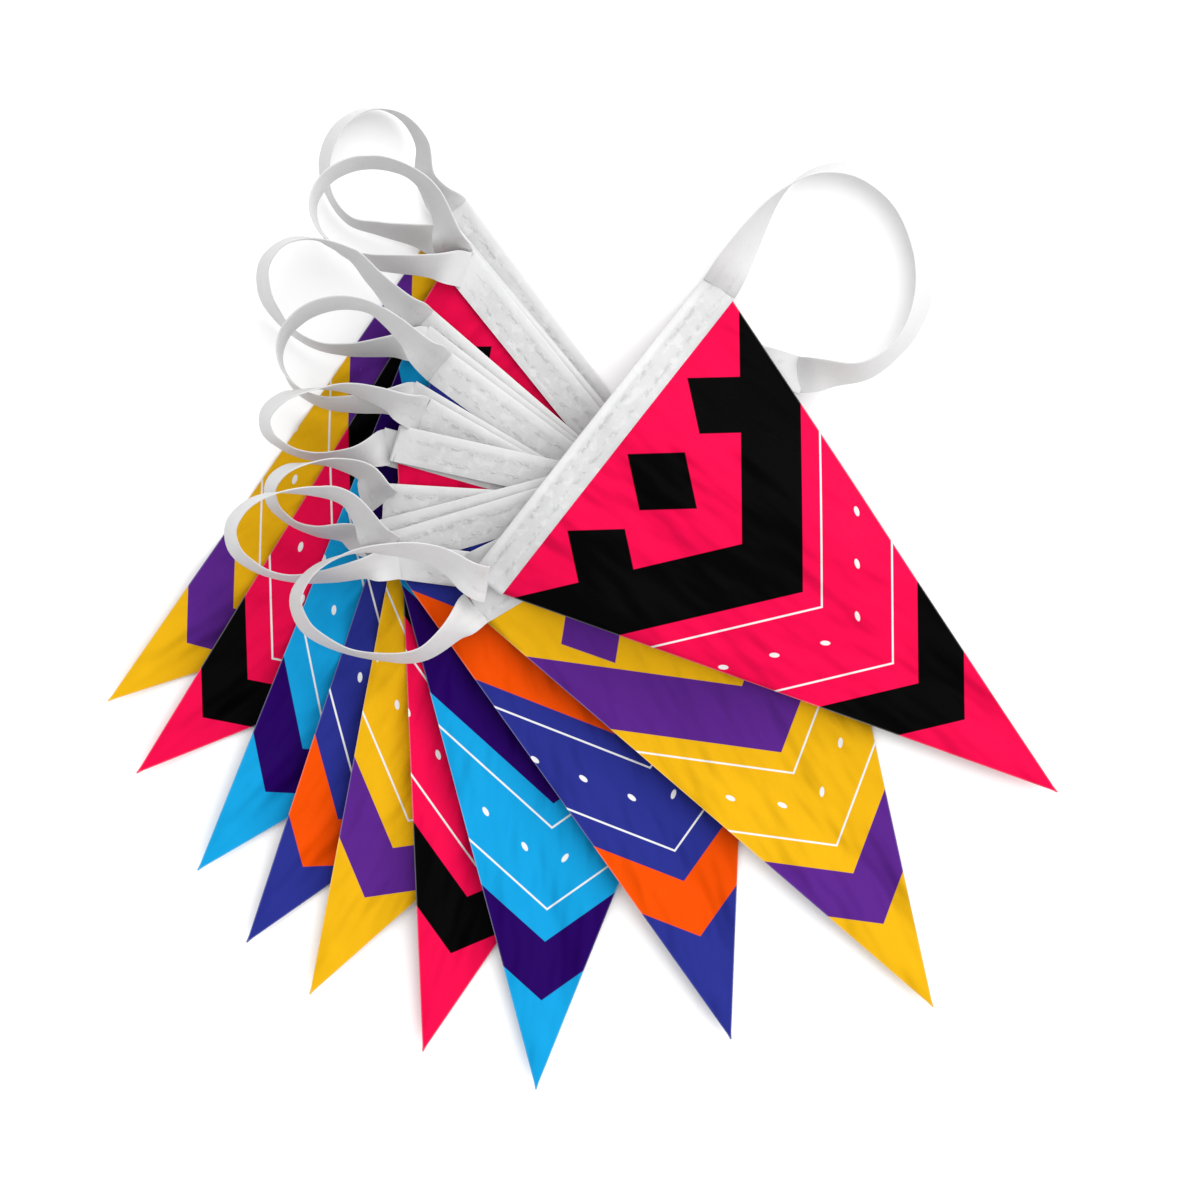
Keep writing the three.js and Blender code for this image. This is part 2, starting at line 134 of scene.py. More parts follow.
# Where a loop leaves a head or lands on flat tape
CLOSING = 22  # over this length the tape closes and draws in, past a head
MEET = 4  # how far a flat stretch reaches back under the loop that comes down on it
HEAD_FADE = 16  # over this length of a head its seam and painted shade fade out towards a loop
LOOSE_END = 0.5  # how much seam and painted shade the head still shows there

# Sections of the tape
HEAD_STEP = 2
FLAT_STEP, LEAST_FLAT_STEPS = 8, 4
FINER = 2.5  # how many times finer a loop is drawn than it is laid
HEIGHT_REACH, LEAN_REACH = 5, 4  # over how many of its sections height and lean are rounded
TURN_SECTIONS = 11
TURN_BACK = 1.3  # how far a tight turn starts short of the heading's end
TURN_RADIUS = 0.6  # the least that it stands out

# The seam of a head and the puckers beside it. Places over the tape run from -1 at the
# seam to 1 at the fold.
SEAM_PLACE, SEAM_SPREAD, SEAM_DEPTH = -0.86, 0.1, 0.16
PUCKER_ENDS = (5.0, 4)  # the bare length before the first one and after the last
PUCKER_APART = (6, 11)
PUCKER_PLACE = (0.1, 0.5)
PUCKER_DEPTH = (0.2, 0.5)
PUCKER_SIZE = (1.3, 3.0)
PUCKER_SPREAD = 0.22
CALM = 8  # over this length a head's ends are plain

# The free left edge of a pennant rises by CURL
CURL = 7
CURL_CLEAR = (1, 22)  # from and to this far from what lies on the pennant
CURL_BELOW = (8, 50)  # from and to this far below the top edge
CURL_INSIDE = (4, 34)  # it falls again from and to this far inside the edge


def placed(x, y):
    return np.array([x, y], float) - CENTRE


def unit(v):
    return v / np.linalg.norm(v)


class Frame:
    """A pennant's own frame: along its top edge, and down from it to its tip."""

    def __init__(self, row):
        angle = math.radians(-row[2])
        self.down = np.array([math.cos(angle), math.sin(angle)])
        self.along = np.array([-self.down[1], self.down[0]])
        self.length = PENNANT_LENGTH - row[3]
        self.middle = placed(row[0], row[1]) - self.length * self.down

    def at(self, v, u):
        v, u = np.asarray(v, float), np.asarray(u, float)
        return self.middle + v[..., None] * self.along + u[..., None] * self.down


def rectangle(f, v0, u0, v1, u1):
    return np.array([f.at(v0, u1), f.at(v1, u1), f.at(v1, u0), f.at(v0, u0)])


def triangle(f):
    return np.array([f.at(-half, 0), f.at(0, f.length), f.at(half, 0)])


def band_between(start, end):
    side = unit(end - start) * TAPE_WIDTH / 2
    across = np.array([-side[1], side[0]])
    return np.array([start - across, end - across, end + across, start + across])


def outside(outline, p):
    """How far points lie outside a convex outline, 0 inside it."""
    nearest = np.full(p.shape[:-1], np.inf)
    sides = np.zeros(p.shape[:-1])
    for a, b in zip(outline, np.roll(outline, -1, axis=0)):
        edge = b - a
        to = p - a
        t = np.clip(to @ edge / (edge @ edge), 0, 1)
        nearest = np.minimum(nearest, np.linalg.norm(to - t[..., None] * edge, axis=-1))
        sides += np.sign(edge[0] * to[..., 1] - edge[1] * to[..., 0])
    return np.where(np.abs(sides) == len(outline), 0, nearest)


def smoothstep(x, low, high):
    t = np.clip((x - low) / (high - low), 0, 1)
    return t * t * (3 - 2 * t)


# The pile: the outlines of all that is laid, and how much each raises what comes next
pads = []


def cover(outlines, p):
    past = np.min([outside(outline, p) for outline in outlines], axis=0)
    return 1 - smoothstep(past, PLATEAU, PLATEAU + FALL)


def height_over(count, p):
    """The height of the first pads of the pile."""
    height = np.full(p.shape[:-1], -LAYER_GAP / 2)
    for outlines, rise in pads[:count]:
        height = height + rise(p) * cover(outlines, p)
    return height


# Meshes


def mesh_object(name, points, faces, material, uvs=None, smooth=True):
    mesh = bpy.data.meshes.new(name)
    mesh.from_pydata([tuple(p) for p in np.asarray(points) * MM], [], faces)
    if uvs is not None:
        layer = mesh.uv_layers.new(name="cut")
        loops = np.empty(len(mesh.loops), int)
        mesh.loops.foreach_get("vertex_index", loops)
        layer.data.foreach_set("uv", np.asarray(uvs, float)[loops].ravel())
    if smooth:
        mesh.shade_smooth()
        mesh.set_sharp_from_angle(angle=math.radians(SHARP))
    mesh.materials.append(material)
    obj = bpy.data.objects.new(name, mesh)
    bpy.context.scene.collection.objects.link(obj)
    return obj


def grid_faces(rows, columns, offset=0, flip=False):
    faces = []
    for j in range(rows - 1):
        for i in range(columns - 1):
            a = offset + j * columns + i
            quad = (a, a + 1, a + columns + 1, a + columns)
            faces.append(quad[::-1] if flip else quad)
    return faces


def skin(rows, columns):
    """Faces of a closed sheet: an upper grid of points, then a lower one."""
    layer = rows * columns
    faces = grid_faces(rows, columns) + grid_faces(rows, columns, layer, True)
    rim = list(range(columns))
    rim += [j * columns + columns - 1 for j in range(1, rows)]
    rim += [(rows - 1) * columns + i for i in range(columns - 2, -1, -1)]
    rim += [j * columns for j in range(rows - 2, 0, -1)]
    for a, b in zip(rim, rim[1:] + rim[:1]):
        faces.append((b, a, a + layer, b + layer))
    return faces


# The section of the folded tape: w runs over its width, 1 at the fold, and f from
# one leaf to the other. Both leaves are there, open at the edge away from the fold.
WIDTHS = np.linspace(-1, 0.94, 12)
INNER_WIDTHS = np.array([-1, -0.3, 0.4, 0.93])


def tape_section(half_width, opening):
    """Points of the section, opening being half the gap between the leaves."""
    outer = opening + THIN_LEAF
    points = [(w, outer) for w in WIDTHS]
    points += [(0.985, outer * 0.6), (1.0, 0), (0.985, -outer * 0.6)]
    points += [(w, -outer) for w in WIDTHS[::-1]]
    points += [(w, -opening) for w in INNER_WIDTHS] + [(0.96, 0)]
    points += [(w, opening) for w in INNER_WIDTHS[::-1]]
    return [(w * half_width, f) for w, f in points]


SECTION_POINTS = len(tape_section(1, 1))


def stretch_faces(stations, base):
    """Faces of a stretch of tape, with its two ends closed."""
    count = SECTION_POINTS
    faces = []
    for i in range(stations - 1):
        for j in range(count):
            a, b = base + i * count + j, base + i * count + (j + 1) % count
            faces.append((a, b, b + count, a + count))
    last = base + (stations - 1) * count
    faces.append(tuple(range(base + count - 1, base - 1, -1)))
    faces.append(tuple(range(last, last + count)))
    return faces


def run_along(points):
    """How far along a line each of its points lies."""
    return np.concatenate([[0], np.cumsum(np.linalg.norm(np.diff(points, axis=0), axis=1))])


def ways_along(points):
    """The unit direction of a line at each of its points."""
    ways = np.gradient(points, axis=0)
    return ways / np.linalg.norm(ways, axis=1)[:, None]


LEVEL = 0.3  # a stretch that starts with its leaves this level has an upper and a lower one


class Tape:
    """All stretches of the tape, gathered into one mesh."""

    def __init__(self):
        self.points = []
        self.faces = []
        self.uvs = []
        self.seam_and_shade = []
        self.length = 0.0

    def sweep(self, middles, widths, headed):
        """A stretch with a section at each middle, its width direction pointing to the
        fold. headed is 1 where it is as open as on a head, 0 where it is closed."""
        middles = np.asarray(middles, float)
        widths = np.asarray(widths, float)
        ways = ways_along(middles)
        widths = widths - np.sum(widths * ways, axis=1)[:, None] * ways
        widths /= np.linalg.norm(widths, axis=1)[:, None]
        normals = np.cross(ways, widths)
        if abs(normals[0][2]) > LEVEL:
            normals *= np.sign(normals[0][2])
        base = len(self.points)
        run = run_along(middles)
        for i, part in enumerate(headed):
            half_width = (LOOP_WIDTH + (TAPE_WIDTH - LOOP_WIDTH) * part) / 2
            opening = LEAF_GAP / 2 + (SEAM_OPENING - LEAF_GAP / 2) * part
            for w, f in tape_section(half_width, opening):
                self.points.append(middles[i] + widths[i] * w + normals[i] * f)
                self.uvs.append((self.length + run[i], (1 - w / half_width) * TAPE_WIDTH / 2))
                self.seam_and_shade.append(part * LOOSE_END)
        self.faces += stretch_faces(len(middles), base)
        self.length += run[-1]

    def lay(self, line, across, surface, opening, half_width, seam_and_shade, lift=None):
        """A stretch that lies on a surface: line is its middle, across points to the fold."""
        base = len(self.points)
        run = run_along(line)
        section = np.tile(tape_section(half_width, opening), (len(line), 1, 1))
        w, f = section[..., 0], section[..., 1]
        p = line[:, None, :] + w[..., None] * across
        z = surface(p) + f
        share = w / half_width
        if lift is not None:
            z = z + lift(run[:, None], share, f)
        for i in range(len(line)):
            for j in range(SECTION_POINTS):
                self.points.append((p[i, j, 0], p[i, j, 1], z[i, j]))
                self.uvs.append((self.length + run[i], (1 - share[i, j]) * TAPE_WIDTH / 2))
                self.seam_and_shade.append(seam_and_shade[i])
        self.faces += stretch_faces(len(line), base)
        self.length += run[-1]


tape = Tape()


# Loops

CURVE_POINTS = 2400
LEAST_SPAN = 1e-4


def catmull_rom(points):
    """The same centripetal curve as the source draws through the points."""
    pts = [np.asarray(p, float) for p in points]
    pts = [2 * pts[0] - pts[1]] + pts + [2 * pts[-1] - pts[-2]]
    out = []
    spans = len(pts) - 3
    for s in range(spans):
        p0, p1, p2, p3 = pts[s : s + 4]
        pairs = ((p0, p1), (p1, p2), (p2, p3))
        d0, d1, d2 = (max(np.linalg.norm(b - a) ** 0.5, LEAST_SPAN) for a, b in pairs)
        t1 = ((p1 - p0) / d0 - (p2 - p0) / (d0 + d1) + (p2 - p1) / d1) * d1
        t2 = ((p2 - p1) / d1 - (p3 - p1) / (d1 + d2) + (p3 - p2) / d2) * d1
        for t in np.linspace(0, 1, CURVE_POINTS // spans, endpoint=s == spans - 1):
            t_2, t_3 = t * t, t * t * t
            out.append(
                p1 + t1 * t + (-3 * p1 + 3 * p2 - 2 * t1 - t2) * t_2 + (2 * p1 - 2 * p2 + t1 + t2) * t_3
            )
    return np.array(out)


def along_line(line, at):
    """Points of a line at these shares of its length."""
    run = run_along(line)
    at = np.asarray(at) * run[-1]
    return np.stack([np.interp(at, run, line[:, k]) for k in range(line.shape[1])], axis=-1)


def loop_line(loop, start, out, end, into):
    x, y, rx, ry, tilt, first, last = loop[:7]
    cos, sin = math.cos(math.radians(tilt)), math.sin(math.radians(tilt))
    points = [start - LEAD * out, start]
    for i in range(RING_POINTS):
        angle = math.radians(first + (last - first) * i / (RING_POINTS - 1))
        px, py = rx * math.cos(angle), ry * math.sin(angle)
        turned = np.array([px * cos - py * sin, px * sin + py * cos])
        points.append(turned + placed(x, y))
    points += [end, end + into * LEAD]
    fine = catmull_rom(points)
    nearest = [int(np.argmin(np.linalg.norm(fine - p, axis=1))) for p in (start, end)]
    return fine[nearest[0] : nearest[1] + 1]


def lean_at(table, t):
    return np.radians(np.interp(t, [row[0] for row in table], [row[1] for row in table]))


def outer_sides(points, handed):
    """Unit directions from a loop's line to the outside of the loop."""
    ways = ways_along(points)
    return np.stack([ways[:, 1], -ways[:, 0]], axis=1) * handed


def smooth(values, reach):
    """Rounds off the corners of a run of numbers, with its ends kept."""
    kernel = np.hanning(2 * reach + 3)[1:-1]
    before = 2 * values[0] - values[reach:0:-1]
    after = 2 * values[-1] - values[-2 : -reach - 2 : -1]
    padded = np.concatenate([before, values, after])
    out = np.convolve(padded, kernel / kernel.sum(), "valid")
    out[0], out[-1] = values[0], values[-1]
    return out


# Where the loops are already: x, y, how far they reach to either side, and their top
laid = []


def lay_loop(loop, leans, start, out, end, into, end_heights, fold_side, heads=(1, 0)):
    """A loop that leaves along out and lands along into, as high as what it crosses asks.
    fold_side says on which side its fold is, and heads which of its ends are on a head."""
    line = loop_line(loop, start, out, end, into)
    length = run_along(line)[-1]
    steps = round(length / STEP)
    t = np.linspace(0, 1, steps + 1)
    p = along_line(line, t)
    handed = 1 if loop[6] > loop[5] else -1
    lean = lean_at(leans, t)
    sides = outer_sides(p, handed)
    reach = np.abs(np.cos(lean)) * TAPE_WIDTH / 2 + TAPE / 2
    tall = np.sin(lean) * TAPE_WIDTH / 2 + np.abs(np.cos(lean)) * TAPE / 2
    under = [height_over(len(pads), p + s * sides * reach[:, None]) for s in (-1, 0, 1)]
    need = np.max(under, axis=0) + LAYER_GAP / 2 + tall
    for other_x, other_y, other_reach, top in laid:
        apart = np.hypot(p[:, 0] - other_x, p[:, 1] - other_y)
        crossing = apart <= reach + other_reach + STEP
        need = np.where(crossing, np.maximum(need, top + LOOP_GAP + tall), need)
    need[0], need[-1] = end_heights
    index = np.arange(steps + 1)
    heights = np.max(need[None, :] - CLIMB * STEP * np.abs(index[:, None] - index[None, :]), axis=1)
    heights[0], heights[-1] = end_heights
    for i in index:
        laid.append((p[i, 0], p[i, 1], reach[i], heights[i] + tall[i]))

    # Drawn with finer steps
    fine = np.linspace(0, 1, round(steps * FINER) + 1)
    q = along_line(line, fine)
    z = smooth(np.interp(fine, t, heights), HEIGHT_REACH)
    lean_fine = smooth(lean_at(leans, fine), LEAN_REACH)
    sides = outer_sides(q, handed)
    widths = np.column_stack([sides * np.cos(lean_fine)[:, None], np.sin(lean_fine)]) * fold_side
    headed = heads[0] * (1 - smoothstep(fine * length, 0, CLOSING))
    headed = headed + heads[1] * smoothstep(fine * length, length - CLOSING, length)
    tape.sweep(np.column_stack([q, z]), widths, headed)


# Building the pile from the bottom up

half = PENNANT_WIDTH / 2
thin_layer = CLOTH + LAYER_GAP
head = CLOTH + 2 * LEAF + 2 * SEAM_GAP
frames = [Frame(row) for row in FAN]
rng = np.random.default_rng(7)


def tape_middle(f, v):
    return f.at(v, -TAPE_WIDTH / 2)


def flat_run(start, end, count=None, lift=None, back=0):
    """Closed tape lying flat on the pile, or on the first pads of it."""
    count = len(pads) if count is None else count

    def middle(p):
        return height_over(count, p) + (FLAT_TAPE + LAYER_GAP) / 2

    outline = band_between(start, end)
    pads.append(([outline], lambda p: FLAT_TAPE + LAYER_GAP))
    way = unit(end - start)
    length = np.linalg.norm(end - start)
    run = np.linspace(-back, length, max(LEAST_FLAT_STEPS, int(length / FLAT_STEP)) + 1)
    line = start + run[:, None] * way
    # Past its start the flat tape takes a head's seam marks and painted shade
    seam_and_shade = smoothstep(run, 0, CLOSING)
    across = np.array([-way[1], way[0]])
    tape.lay(line, across, middle, LEAF_GAP / 2, LOOP_WIDTH / 2, seam_and_shade, lift)
    return middle


def puckers(length):
    """Where the seam draws the tape in: places along a head, over it, depths and sizes."""
    places = []
    at, last = PUCKER_ENDS[0], length - PUCKER_ENDS[1]
    while at < last:
        over, depth = rng.uniform(*PUCKER_PLACE), rng.uniform(*PUCKER_DEPTH)
        places.append((at, over, depth, rng.uniform(*PUCKER_SIZE)))
        at += rng.uniform(*PUCKER_APART)
    return places


def head_tape(f, left, right, middle, is_looped):
    """The tape over a pennant's top edge. is_looped tells which ends a loop leaves."""
    length = right - left
    count = int(length / HEAD_STEP)
    at = np.linspace(left, right, count + 1)
    dents = puckers(length)
    seam_and_shade = np.ones(count + 1)
    if is_looped[0]:
        seam_and_shade = seam_and_shade * (LOOSE_END + (1 - LOOSE_END) * smoothstep(at, left, left + HEAD_FADE))
    if is_looped[1]:
        seam_and_shade = seam_and_shade * (1 - (1 - LOOSE_END) * smoothstep(at, right - HEAD_FADE, right))

    def lift(run, share, f):
        dip = 0
        for place, over, depth, size in dents:
            fall = -(((run - place) / size) ** 2) - ((share - over) / PUCKER_SPREAD) ** 2
            dip = dip + depth * np.exp(fall)
        # The seam is a shallow channel at the cloth's edge
        channel = SEAM_DEPTH * np.exp(-(((share - SEAM_PLACE) / SEAM_SPREAD) ** 2))
        calm = smoothstep(run, 0, CALM) * (1 - smoothstep(run, length - CALM, length))
        return -np.sign(f) * (dip + channel) * calm

    tape.lay(tape_middle(f, at), -f.down, middle, SEAM_OPENING, TAPE_WIDTH / 2, seam_and_shade, lift)


def fold_tape(f, v, upper, lower, outward, heads):
    """A tight turn at the end of a head, from the upper layer of tape to the lower one."""
    base = tape_middle(f, v)
    top, bottom = upper(base), lower(base)
    radius = (top - bottom) / 2
    angles = np.linspace(math.pi / 2, -math.pi / 2, TURN_SECTIONS)
    middles = []
    for angle in angles:
        p = base + f.along * outward * max(radius, TURN_RADIUS) * math.cos(angle)
        middles.append([*p, (top + bottom) / 2 + radius * math.sin(angle)])
    widths = np.tile([*(-f.down), 0], (len(angles), 1))
    tape.sweep(middles, widths, np.linspace(*heads, len(angles)))


def ripples_of(k):
    """The soft folds that run down the lower part of a pennant."""
    f = frames[k]

    def ripples(p):
        away = p - f.at(0, 0)
        fade = smoothstep(away @ f.down, f.length * RIPPLE_START, f.length * RIPPLE_FULL)
        wave = np.cos(2 * math.pi * (away @ f.along / RIPPLE_WIDTH + FAN[k][4]))
        return RIPPLE * fade * np.maximum(0, wave)

    return ripples


def has_tight_end(k):
    return k >= 2 and k + 1 not in LOOPS


def lay_pennant(k):
    f = frames[k]
    count = len(pads)
    left = -half - (FOLD if has_tight_end(k) else HEM)
    right = half + (HEM if k in (0, len(FAN) - 1) else FOLD)
    band = rectangle(f, left, -TAPE_WIDTH, right, 0)
    cloth = triangle(f)
    ripples = ripples_of(k)
    body = [band, cloth]
    heading = [band]

    def middle(p):
        thickening = (head - CLOTH) * cover(heading, p)
        return height_over(count, p) + (thin_layer + thickening) / 2 + ripples(p) * cover(body, p)

    pads.append((body, lambda p: thin_layer + ripples(p)))
    pads.append((heading, lambda p: head - CLOTH))
    return middle, left, right


def fold_side_of(f, out, handed):
    """Which side of a loop has the fold that the head brings to it."""
    side = np.array([out[1], -out[0]]) * handed
    return 1 if side @ -f.down > 0 else -1


def over_the_turn(run, share, f):
    """Lifts a stretch onto the one that it crosses at its start."""
    return (2 * THIN_LEAF + LEAF_GAP) * (1 - smoothstep(run, TAPE_WIDTH, 2 * TAPE_WIDTH))


fold_end = half + FOLD - LAP
loop_end = half + HEM - LAP
turn_end = half + FOLD - TURN_BACK
middles = {}
above = {}  # how many pads lie in the pile once a pennant is on it
returned = None
for k in range(len(FAN) - 1, -1, -1):
    f = frames[k]
    left_end = tape_middle(f, -loop_end)
    if k == 0:
        right_landing = placed(RIGHT_LOOP[7], RIGHT_LOOP[8])
        inward = unit(placed(*RIGHT_TUCK) - right_landing)
        tucked = flat_run(right_landing, placed(*RIGHT_TUCK), back=MEET)
    middle, left, right = lay_pennant(k)
    middles[k] = middle
    is_looped = (not has_tight_end(k), k == 0)
    head_left = -loop_end if is_looped[0] else left
    head_right = loop_end if is_looped[1] else right
    head_tape(f, head_left, head_right, middle, is_looped)
    above[k] = len(pads)
    if returned:
        fold_tape(f, turn_end, middle, returned, 1, (1, 0))
    if k == 0:
        second, end = frames[1], tape_middle(frames[1], -loop_end)
        heights = (float(middle(left_end)), float(middles[1](end)))
        side = fold_side_of(f, -f.along, 1)
        lay_loop(TOP_LOOP, OPEN_LEAN, left_end, -f.along, end, second.along, heights, side, (1, 1))
        start = tape_middle(f, loop_end)
        heights = (float(middle(start)), float(tucked(right_landing)))
        side = fold_side_of(f, f.along, -1)
        lay_loop(RIGHT_LOOP, RIGHT_LEAN, start, f.along, right_landing, inward, heights, side)
    returned = None
    if k < 2:
        continue

    # Back over this pennant to the right end of the next one up
    loop = LOOPS.get(k + 1)
    target = tape_middle(frames[k - 1], fold_end)
    landing = placed(loop[7], loop[8]) if loop else tape_middle(f, -fold_end)
    turn = placed(*TURN) if TURN_AFTER == k + 1 else target
    into = unit(turn - landing)
    count = len(pads)
    returned = run = flat_run(landing, turn, back=MEET if loop else 0)
    if turn is not target:
        returned = flat_run(turn - into * TAPE_WIDTH / 2, target, count, over_the_turn)
    if loop:
        leans = ROUND_LEAN if k + 1 in ROUND_LOOPS else OPEN_LEAN
        heights = (float(middle(left_end)), float(run(landing)))
        side = fold_side_of(f, -f.along, 1)
        lay_loop(loop, leans, left_end, -f.along, landing, into, heights, side)
    else:
        fold_tape(f, -turn_end, run, middle, -1, (0, 1))


# The cloths, once all that lies on them is known


def curl_of(k, p):
    """The free left edge of a pennant rises a little where nothing lies on it."""
    f = frames[k]
    past = np.full(p.shape[:-1], np.inf)
    for outlines, _ in pads[above[k] :]:
        for outline in outlines:
            past = np.minimum(past, outside(outline, p))
    for x, y, reach, _ in laid:
        past = np.minimum(past, np.hypot(p[..., 0] - x, p[..., 1] - y) - reach)
    slope = math.hypot(f.length, half)
    away = p - f.at(-half, 0)
    inside = (away @ f.along * f.length - away @ f.down * half) / slope
    down = (p - f.at(0, 0)) @ f.down
    free = smoothstep(past, *CURL_CLEAR) * smoothstep(down, *CURL_BELOW)
    return CURL * free * (1 - smoothstep(inside, *CURL_INSIDE))


def cloth_of(k, middle):
    """The pennant's cloth, from the margin in the seam to its tip."""
    f = frames[k]
    margin = np.linspace(-SEAM_MARGIN, 0, MARGIN_ROWS)
    us = np.concatenate([margin, np.linspace(0, f.length, BODY_ROWS)[1:]])
    points, uvs = [], []
    for u in us:
        reach = max(half * (1 - max(u, 0) / f.length), TIP)
        v = np.linspace(-reach, reach, COLUMNS)
        p = f.at(v, np.full(COLUMNS, u))
        points.append(np.column_stack([p, middle(p) + curl_of(k, p)]))
        uvs.append(np.column_stack([v, np.full(COLUMNS, u * PENNANT_LENGTH / f.length)]))
    upper = np.concatenate(points)
    flat = np.concatenate(uvs)
    lower = upper.copy()
    upper[:, 2] += THIN / 2
    lower[:, 2] -= THIN / 2
    everything = np.concatenate([upper, lower])
    return everything, skin(len(us), COLUMNS), np.concatenate([flat, flat])


cloths = [(k, *cloth_of(k, middles[k])) for k in range(len(FAN))]


# Materials

LIGHT = 1.47  # how much the light on a flat surface is past what shows as white


def srgb(colour):
    """The surface colour that shows as this one in the light."""
    out = []
    for c in colour:
        c = c / 255
        out.append((c / 12.92 if c <= 0.04045 else ((c + 0.055) / 1.055) ** 2.4) / LIGHT)
    return (*out, 1.0)


class Nodes:
    """Shorthand for building a node tree."""

    def __init__(self, name):
        self.material = bpy.data.materials.new(name)
        self.material.use_nodes = True
        self.tree = self.material.node_tree
        self.shader = self.tree.nodes["Principled BSDF"]

    def add(self, kind, **settings):
        node = self.tree.nodes.new(kind)
        for key, value in settings.items():
            setattr(node, key, value)
        return node

    def put(self, socket, value):
        if isinstance(value, bpy.types.NodeSocket):
            self.tree.links.new(value, socket)
        else:
            socket.default_value = value

    def math(self, op, a, b=0.0, c=0.0):
        node = self.add("ShaderNodeMath", operation=op)
        for socket, value in zip(node.inputs, (a, b, c)):
            self.put(socket, value)
        return node.outputs[0]

    def mix(self, factor, a, b):
        """Colour a, or b where factor is 1, by the node's own colour sockets."""
        node = self.add("ShaderNodeMix", data_type="RGBA")
        self.put(node.inputs[0], factor)
        self.put(node.inputs[6], a)
        self.put(node.inputs[7], b)
        return node.outputs[2]

    def noise(self, vector, scale, detail=2.0, roughness=0.5):
        node = self.add("ShaderNodeTexNoise")
        self.put(node.inputs["Vector"], vector)
        node.inputs["Scale"].default_value = scale
        node.inputs["Detail"].default_value = detail
        node.inputs["Roughness"].default_value = roughness
        return node.outputs["Fac"]

    def vector(self, x, y, z=0.0):
        node = self.add("ShaderNodeCombineXYZ")
        for socket, value in zip(node.inputs, (x, y, z)):
            self.put(socket, value)
        return node.outputs[0]

    def uv(self):
        """Millimetres over the cut cloth."""
        node = self.add("ShaderNodeUVMap", uv_map="cut")
        split = self.add("ShaderNodeSeparateXYZ")
        self.put(split.inputs[0], node.outputs[0])
        return split.outputs[0], split.outputs[1]

    def between(self, value, low, high, soft=0.4):
        """1 where value lies between low and high, fading out over soft inside them."""
        middle, reach = (low + high) / 2, (high - low) / 2
        away = self.math("ABSOLUTE", self.math("SUBTRACT", value, middle))
        inside = self.math("DIVIDE", self.math("SUBTRACT", reach, away), soft)
        return self.math("SMOOTH_MIN", 1.0, self.math("MAXIMUM", 0.0, inside), 0.1)

    def any_of(self, masks):
        whole = masks[0]
        for other in masks[1:]:
            whole = self.math("MAXIMUM", whole, other)
        return whole

    def weave(self, x, y, pitch):
        """Height of a plain weave with this many millimetres to two threads."""
        turn = 2 * math.pi / pitch
        a = self.math("SINE", self.math("MULTIPLY", x, turn))
        b = self.math("SINE", self.math("MULTIPLY", y, turn))
        return self.math("MULTIPLY", a, b)

    def bump(self, height, strength, distance, normal=None):
        node = self.add("ShaderNodeBump")
        node.inputs["Strength"].default_value = strength
        node.inputs["Distance"].default_value = distance
        self.put(node.inputs["Height"], height)
        if normal is not None:
            self.put(node.inputs["Normal"], normal)
        return node.outputs[0]


WHITE = srgb((255, 255, 255))

# The print, in millimetres over a pennant. Stripes, lines and dots run in arrows that
# rise by ARROW for each millimetre away from the middle. Each has its place down the
# middle, and the share of the pennant's own shift that it takes.
ARROW = 0.8
STRIPES = ((96, 138, 0.4), (214, 246, 0.3))
LINES = ((150, 151.6, 0.4), (196, 197.6, 0.3))
DOT_ROW, DOT_SHIFT, DOT_RADIUS = 174, 0.35, 2.0
DOT_SPACING, DOT_START = 22.0, 300.0
LOZENGE_WIDTH, LOZENGE_LENGTH, LOZENGE_SPACING = 40.0, 48.0, 52.0
LOZENGE_ROW, LOZENGE_REACH = 30.0, 78.0
# From and to where the painted highlight along the cut edge lies, in millimetres out from the middle
EDGE_HIGHLIGHT_BAND = (99.3, 104.0)


